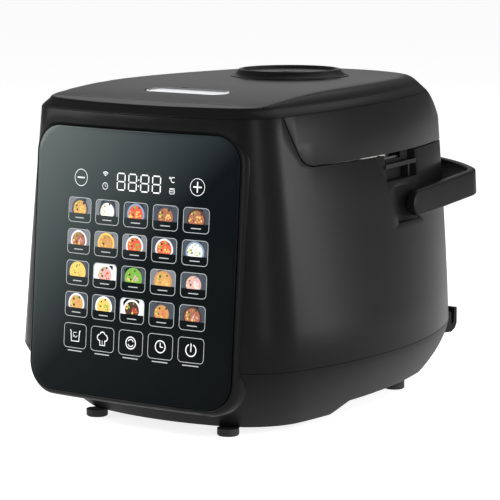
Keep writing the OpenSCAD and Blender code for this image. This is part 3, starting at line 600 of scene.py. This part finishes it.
def build_lid():
    room = bail_room(0)
    cover = plate("lid_cover_visual", 0)
    hollow = plate("hollow", WALL)
    cut(cover, hollow)
    copy = room.copy()
    copy.data = room.data.copy()
    bpy.context.scene.collection.objects.link(copy)
    keep(cover, copy)
    seat = disc_tool("seat", SEAT_R, 200, 300, CAP_Y)
    hole = stadium("hole", BUTTON_W / 2 + 0.4, BUTTON_D / 2 + 0.4, [(0, -20), (0, 20)])
    low_y, high_y, low_z = CREASE_Y - CREASE_W / 2, CREASE_Y + CREASE_W / 2, CREASE_Z - CREASE_DEPTH
    crease = side_profile("crease", [(low_y, low_z), (high_y, low_z), (high_y, 300), (low_y, 300)], FAR)
    cut(cover, seat, hole, crease)
    dress(cover, "black_satin", "lid", "lid_cover", bevel=0.35)
    skirt = rimmed("lid_skirt_visual", SEAM_H - 3, 0, SKIN)
    inside = keep(rimmed("inside", SEAM_H - 4, TOP_WALL, WALL), bail_room(WALL))
    well = disc_tool("well", LID_WELL_R, RIM_H - 30, 300, POT_Y)
    cut(skirt, inside, well)
    keep(skirt, lid_space(SEAM_GAP / 2), room)
    notch = block("notch", (-NOTCH, HINGE_Y - 12, SEAM_H - 10), (NOTCH, HINGE_Y + 48, HINGE_Z + 10))
    cut(skirt, notch, block("latch", (-36, -115, RIM_H - 6), (36, -83, RIM_H + 14)))
    dress(skirt, "black_satin", "lid", "lid_skirt", bevel=0.4)


def stadium(name, half_w, half_d, levels):
    """Oval loft on the sloping button place; each level is (inset, height)."""
    rings = []
    for inset, z in levels:
        r = half_d - inset
        x = half_w - half_d
        points = arc((x, 0), r, -90, 90, 20) + arc((-x, 0), r, 90, 270, 20)
        rings.append([(px, BUTTON_Y + py, BUTTON_Z + z) for px, py in points])
    return turned(loft(name, rings), (0, BUTTON_Y, BUTTON_Z), "X", BUTTON_SLOPE)


def build_button():
    levels = [(0, -6), (0, -0.6), (0.15, -0.1), (0.5, 0.25), (1, 0.4), (1.6, 0.4), (2.1, 0.15), (2.6, 0),
              (4, -0.1), (6, -0.15), (8.5, -0.18)]
    button = stadium("latch_button_visual", BUTTON_W / 2, BUTTON_D / 2, levels)
    dress(button, "chrome", "button", "latch_button", bevel=0)


def build_cap():
    seat = PLATE_TOP
    profile = [(THIN, 252), (36, 252), (36, 268), (38.5, seat - 0.9), (CAP_BASE_R, seat - 0.9),
               (CAP_BASE_R, seat + 0.1), (CAP_BASE_R - 1.2, seat + 0.3), (CAP_BASE_R - 2.6, seat + 0.75),
               (CAP_BASE_R - 4.2, seat + 1.7), (CAP_R + 2.1, seat + 3), (CAP_R + 1, CAP_TOP - 1.3),
               (CAP_R + 0.5, CAP_TOP - 0.5), (CAP_R, CAP_TOP - 0.1), (CAP_R - 0.6, CAP_TOP),
               (CAP_R - 2, CAP_TOP), (CAP_R - 2.6, CAP_TOP - 0.3), (CAP_R - 4, CAP_TOP - 2.3),
               (CAP_R - 5, CAP_TOP - 2.6), (20, CAP_TOP - 3.1), (THIN, CAP_TOP - 3.4)]
    cap = lathe("steam_cap_visual", profile, CAP_Y, 160)
    chamber = disc_tool("chamber", CHAMBER_R, 251, 265, CAP_Y)
    cut(cap, block("slot", (-9, CAP_Y - 4, 240), (25, CAP_Y + 4, 300)), chamber)
    dress(cap, "black_satin", "cap", "steam_cap", bevel=0.4)


build_base()
build_outer()
build_panel()
build_bail()
build_lid()
build_button()
build_cap()


# ---- CAD nodes that stay in view ----
BEVELS = {"foot": 0.6, "cord_hook": 0.8, "ladle_bar": 0.5, "hinge_bracket": 0.5, "power_inlet": 0.4,
          "lid_hinge_arms": 0.5, "cooking_pot": 0.3, "latch_hook": 0.4, "latch_strike": 0.3, "pivot_pin": 0.3,
          "relay": 0.5, "transformer": 0.4, "capacitors": 0.5, "deck": 0.3, "lid_liner": 0.4}
SLOTS = {part["node"]: part["material_slot"] for part in frame["record"]["subparts"]}
for node, obj in frame["nodes"].items():
    if obj.hide_render:
        continue
    if obj.material_slots:
        for place in obj.material_slots:
            place.material = FINISH[SLOTS[node]]
    else:
        obj.data.materials.append(FINISH[SLOTS[node]])
    soften(obj, next((width for start, width in BEVELS.items() if node.startswith(start)), 0))


# ---- line art on the glass ----
ART_X = 5.8             # middle of the artwork
PITCH_X, PITCH_S = 28.8, 25.2
TOP_ROW_S = 175
TILE_W, TILE_H, TILE_R = 23.6, 19.4, 3.2
LINE = 0.45


class Artwork:
    """Flat shapes gathered by colour and laid on the glass as one thin mesh a colour."""

    def __init__(self):
        self.shapes = {}

    def fill(self, ink, points, layer=1):
        self.shapes.setdefault(ink, []).append((layer, points, None))

    def stroke(self, ink, points, width, closed=False, layer=1):
        """Band of even width along a line."""
        n = len(points)
        inner, outer = [], []
        for i, p in enumerate(points):
            before = points[i - 1] if closed or i else p
            after = points[(i + 1) % n] if closed or i < n - 1 else p
            dx, dy = after[0] - before[0], after[1] - before[1]
            size = math.hypot(dx, dy)
            side = (-dy / size * width / 2, dx / size * width / 2)
            inner.append((p[0] - side[0], p[1] - side[1]))
            outer.append((p[0] + side[0], p[1] + side[1]))
        self.shapes.setdefault(ink, []).append((layer, inner, outer, closed))

    def build(self):
        for ink, shapes in self.shapes.items():
            verts, faces = [], []
            for layer, points, outer, *closed in shapes:
                height = 2.3 + 0.025 * layer
                start = len(verts)
                verts += [on_panel(x, s, height) for x, s in points]
                n = len(points)
                if outer is None:
                    faces.append(tuple(range(start, start + n)))
                    continue
                verts += [on_panel(x, s, height) for x, s in outer]
                spans = n if closed[0] else n - 1
                for i in range(spans):
                    j = (i + 1) % n
                    faces.append((start + i, start + j, start + n + j, start + n + i))
            art = make("panel_art_" + ink, verts, faces)
            art.data.materials.append(INKS[ink])
            thickness = art.modifiers.new("thickness", "SOLIDIFY")
            thickness.thickness = 0.02 * MM
            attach(art, "body")


def ink(name, colour, roughness=0.5):
    return material("ink_" + name, colour, roughness, specular=0.1, grain=400, depth=0.02)


INKS = {"white": ink("white", (0.78, 0.8, 0.8)), "dim": ink("dim", (0.42, 0.44, 0.44)),
        "slate": ink("slate", (0.05, 0.06, 0.075)), "table": ink("table", (0.16, 0.17, 0.19)),
        "plate": ink("plate", (0.62, 0.64, 0.66)), "blue": ink("blue", (0.2, 0.28, 0.4)),
        "rice": ink("rice", (0.8, 0.78, 0.72)), "crust": ink("crust", (0.5, 0.24, 0.08)),
        "stew": ink("stew", (0.55, 0.3, 0.1)), "meat": ink("meat", (0.33, 0.12, 0.07)),
        "tomato": ink("tomato", (0.6, 0.1, 0.05)), "leaf": ink("leaf", (0.16, 0.36, 0.05)),
        "corn": ink("corn", (0.75, 0.48, 0.12)), "pink": ink("pink", (0.6, 0.35, 0.33)),
        "cocoa": ink("cocoa", (0.06, 0.03, 0.02))}

# table, plate, food and the bits on top, row by row
DISHES = [
    [("table", "slate", "stew", "corn"), ("table", "slate", "rice", "rice"),
     ("slate", "blue", "tomato", "corn"), ("slate", "slate", "meat", "corn"),
     ("slate", "cocoa", "meat", "corn")],
    [("table", "plate", "meat", "pink"), ("table", "corn", "crust", "stew"),
     ("table", "plate", "tomato", "leaf"), ("slate", "plate", "tomato", "corn"),
     ("slate", "blue", "rice", "leaf")],
    [("slate", "corn", "corn", "stew"), ("plate", "rice", "pink", "tomato"),
     ("slate", "leaf", "leaf", "pink"), ("table", "crust", "stew", "corn"),
     ("slate", "slate", "pink", "rice")],
    [("slate", "plate", "stew", "crust"), ("slate", "rice", "corn", "leaf"),
     ("plate", "rice", "cocoa", "tomato"), ("slate", "slate", "crust", "tomato"),
     ("slate", "cocoa", "meat", "pink")],
]


def round_rect(cx, cy, w, h, r):
    points = []
    for x, y, a in [(w / 2 - r, r - h / 2, -90), (w / 2 - r, h / 2 - r, 0), (r - w / 2, h / 2 - r, 90),
                    (r - w / 2, r - h / 2, 180)]:
        points += arc((cx + x, cy + y), r, a, a + 90, 5)
    return points


def disc(cx, cy, r, floor, steps=22):
    """Circle cut off level at its floor."""
    return [(x, max(y, floor)) for x, y in arc((cx, cy), r, 0, 360, steps)[:-1]]


def dish(art, cx, cy, inks, seed):
    """Food picture in the upper part of a tile."""
    table, platter, food, bits = inks
    top = cy + TILE_H / 2
    floor = top - TILE_H * 0.64
    frame_line = round_rect(cx, cy, TILE_W - 0.6, TILE_H - 0.6, TILE_R)
    art.fill(table, [(x, max(y, floor)) for x, y in frame_line], 1)
    middle = floor + 3.2
    art.fill(platter, disc(cx, middle, 8.6, floor), 2)
    art.fill(food, disc(cx, middle, 7, floor), 3)
    chance = random.Random(seed)
    for i in range(26):
        reach, turn = 6.4 * math.sqrt((i + 0.5) / 26), i * 2.4 + chance.uniform(-0.3, 0.3)
        size = chance.uniform(0.5, 1.15)
        x, y = cx + reach * math.cos(turn), middle + reach * math.sin(turn)
        if y > floor + size:
            colour = (bits, food, "corn", bits, "leaf" if i % 2 else "cocoa")[i % 5]
            art.fill(colour, disc(x, y, size, floor, 7), 4)
    art.stroke("dim", [(cx - 4.6, cy - TILE_H / 2 + 3.4), (cx + 4.6, cy - TILE_H / 2 + 3.4)], 0.75)


def digit(art, cx, cy, w, h):
    """Figure eight of seven separate bars."""
    gap, x, y = 0.7, w / 2, h / 2
    for level in (-y, 0, y):
        art.stroke("white", [(cx - x + gap, cy + level), (cx + x - gap, cy + level)], 1)
    for side in (-x, x):
        for low in (-y, 0):
            art.stroke("white", [(cx + side, cy + low + gap), (cx + side, cy + low + y - gap)], 1)


def circle(cx, cy, r, a0=0, a1=360, steps=40):
    return arc((cx, cy), r, a0, a1, steps)


def round_key(art, cx, cy, plus):
    art.stroke("white", circle(cx, cy, 6.6)[:-1], LINE, closed=True)
    art.stroke("white", [(cx - 3.9, cy), (cx + 3.9, cy)], 1.1)
    if plus:
        art.stroke("white", [(cx, cy - 4.2), (cx, cy + 4.2)], 1.1)


def small_signs(art, y):
    """Wireless, clock, temperature and pot signs beside the digits."""
    x = ART_X - 32
    for r in (1, 2.3, 3.6):
        art.stroke("white", circle(x, y + 3, r, 45, 135, 8), 0.7)
    art.stroke("white", circle(x, y - 4.5, 2.6)[:-1], LINE, closed=True)
    art.stroke("white", [(x, y - 2.9), (x, y - 4.6), (x + 1.4, y - 4.6)], LINE)
    x = ART_X + 34
    art.stroke("white", circle(x - 2.2, y + 6, 0.7)[:-1], LINE, closed=True)
    art.stroke("white", circle(x + 0.8, y + 4.6, 2, 50, 310, 16), 0.6)
    art.stroke("white", round_rect(x, y - 4.6, 4.6, 3.2, 1), LINE, closed=True)
    art.stroke("white", [(x - 2.6, y - 2.2), (x + 2.6, y - 2.2)], LINE)
    art.stroke("white", [(x - 2.2, y - 4.6), (x + 2.2, y - 4.6)], LINE)


def bottom_icons(art, xs, y):
    """Basin, chef's hat, self-cleaning ring, clock and power."""
    thick = 0.85
    x = xs[0]
    art.stroke("white", [(x - 5.4, y + 4.4), (x - 4.6, y + 3.6), (x - 4, y - 4.4), (x + 4, y - 4.4),
                         (x + 4.6, y + 3.6), (x + 5.4, y + 4.4)], thick)
    art.stroke("white", [(x - 2, y - 1.4), (x - 2, y + 2.6), (x + 1.4, y + 2.6)], LINE)
    art.stroke("white", circle(x + 0.5, y + 0.4, 1.5, 180, 360, 10), LINE)
    x = xs[1]
    for cx, cy, r, a0, a1 in [(x - 2.7, y + 1.2, 2.5, 100, 280), (x, y + 3, 2.7, 20, 160),
                              (x + 2.7, y + 1.2, 2.5, -100, 80)]:
        art.stroke("white", circle(cx, cy, r, a0, a1, 14), thick)
    band = [(x - 2.6, y - 0.8), (x - 2.6, y - 4.8), (x + 2.6, y - 4.8), (x + 2.6, y - 0.8)]
    art.stroke("white", band, thick)
    art.stroke("white", [(x, y - 4), (x, y - 1)], LINE)
    x = xs[2]
    art.stroke("white", circle(x, y, 4.7)[:-1], thick, closed=True)
    art.stroke("white", circle(x, y, 2.8, 20, 150, 12), 0.7)
    art.stroke("white", circle(x, y, 2.8, 200, 330, 12), 0.7)
    x = xs[3]
    art.stroke("white", circle(x, y, 4.7)[:-1], thick, closed=True)
    art.stroke("white", [(x, y + 3), (x, y - 0.3), (x + 2.4, y - 0.3)], thick)
    x = xs[4]
    art.stroke("white", circle(x, y, 4.7, 115, 425, 36), thick)
    art.stroke("white", [(x, y + 5.4), (x, y - 1.2)], thick)


def build_art():
    art = Artwork()
    xs = [ART_X + (i - 2) * PITCH_X for i in range(5)]
    for row in range(5):
        s = TOP_ROW_S - row * PITCH_S
        for column, x in enumerate(xs):
            art.stroke("dim", round_rect(x, s, TILE_W, TILE_H, TILE_R), LINE, closed=True, layer=5)
            if row < 4:
                dish(art, x, s, DISHES[row][column], row * 5 + column)
            else:
                art.stroke("dim", [(x - 7.5, s - TILE_H / 2 - 2.4), (x + 7.5, s - TILE_H / 2 - 2.4)], 0.8)
    bottom_icons(art, xs, TOP_ROW_S - 4 * PITCH_S)
    y = TOP_ROW_S + PITCH_S
    for i, offset in enumerate((-17.4, -6, 6, 17.4)):
        digit(art, ART_X + 1.6 + offset, y, 7.6, 13)
    for level in (-2.4, 2.4):
        art.fill("white", disc(ART_X + 1.6, y + level, 0.6, -FAR, 10))
    small_signs(art, y)
    round_key(art, ART_X - 57.5, y + 0.6, plus=False)
    round_key(art, ART_X + 57.5, y + 0.6, plus=True)
    art.build()


build_art()


# ---- studio ----
def stage_finish(name, colour, roughness, glow):
    made = bpy.data.materials.new(name)
    made.use_nodes = True
    shader = made.node_tree.nodes["Principled BSDF"]
    shader.inputs["Base Color"].default_value = (*colour, 1)
    shader.inputs["Roughness"].default_value = roughness
    shader.inputs["Specular IOR Level"].default_value = 0
    shader.inputs["Emission Color"].default_value = (1, 1, 1, 1)
    shader.inputs["Emission Strength"].default_value = glow
    return made


def softbox(name, place, aim, size, power):
    lamp = bpy.data.lights.new(name, "AREA")
    lamp.shape = "RECTANGLE"
    lamp.size, lamp.size_y = size
    lamp.energy = power
    obj = bpy.data.objects.new(name, lamp)
    obj.location = place
    obj.rotation_euler = (Vector(aim) - Vector(place)).to_track_quat("-Z", "Y").to_euler()
    bpy.context.scene.collection.objects.link(obj)


FLOOR_HALF = 9000
corners = [(-1, -1), (1, -1), (1, 1), (-1, 1)]
floor = make("studio_floor", [(x * FLOOR_HALF, y * FLOOR_HALF, 0) for x, y in corners], [(0, 1, 2, 3)])
floor.data.materials.append(stage_finish("studio_floor", (0.55, 0.55, 0.55), 0.9, 0.82))

world = bpy.data.worlds.new("studio")
world.use_nodes = True
world.node_tree.nodes["Background"].inputs["Color"].default_value = (1, 1, 1, 1)
world.node_tree.nodes["Background"].inputs["Strength"].default_value = 0.25
bpy.context.scene.world = world
bpy.context.scene.view_settings.view_transform = "Standard"

softbox("overhead", (0.2, 0.9, 1.7), (0, 0, 0.1), (1.6, 1.6), 14)
softbox("front_left", (-1.04, -1.1, 0.95), (0, -0.1, 0.2), (0.6, 0.5), 18)
softbox("left", (-1.9, -1.1, 0.7), (0, -0.1, 0.15), (0.7, 0.9), 20)
softbox("rear_left", (-1.5, 1.9, 0.85), (0, 0, 0.25), (0.9, 0.5), 1.4)
softbox("rear_right", (1.9, 1.15, 0.4), (0.1, -0.1, 0.15), (0.5, 1), 45)
softbox("front_right", (1.5, -1.05, 0.6), (0.1, -0.1, 0.15), (0.3, 1.2), 16)

azimuth, elevation, distance = math.radians(35.85), math.radians(8.01), 2.2399
right = Vector((math.cos(azimuth), math.sin(azimuth), 0))
back = Vector((math.sin(azimuth) * math.cos(elevation), -math.cos(azimuth) * math.cos(elevation),
               math.sin(elevation)))
up = back.cross(right)
target = Vector((0, -0.0444, 0.1288)) + 0.01668 * right + 0.00275 * up
lens = bpy.data.cameras.new("camera")
lens.lens = 195.39
lens.sensor_width = 36
camera = bpy.data.objects.new("camera", lens)
turn = Matrix((right, up, back)).transposed().to_4x4()
camera.matrix_world = Matrix.Translation(target + back * distance) @ turn
bpy.context.scene.collection.objects.link(camera)
bpy.context.scene.camera = camera
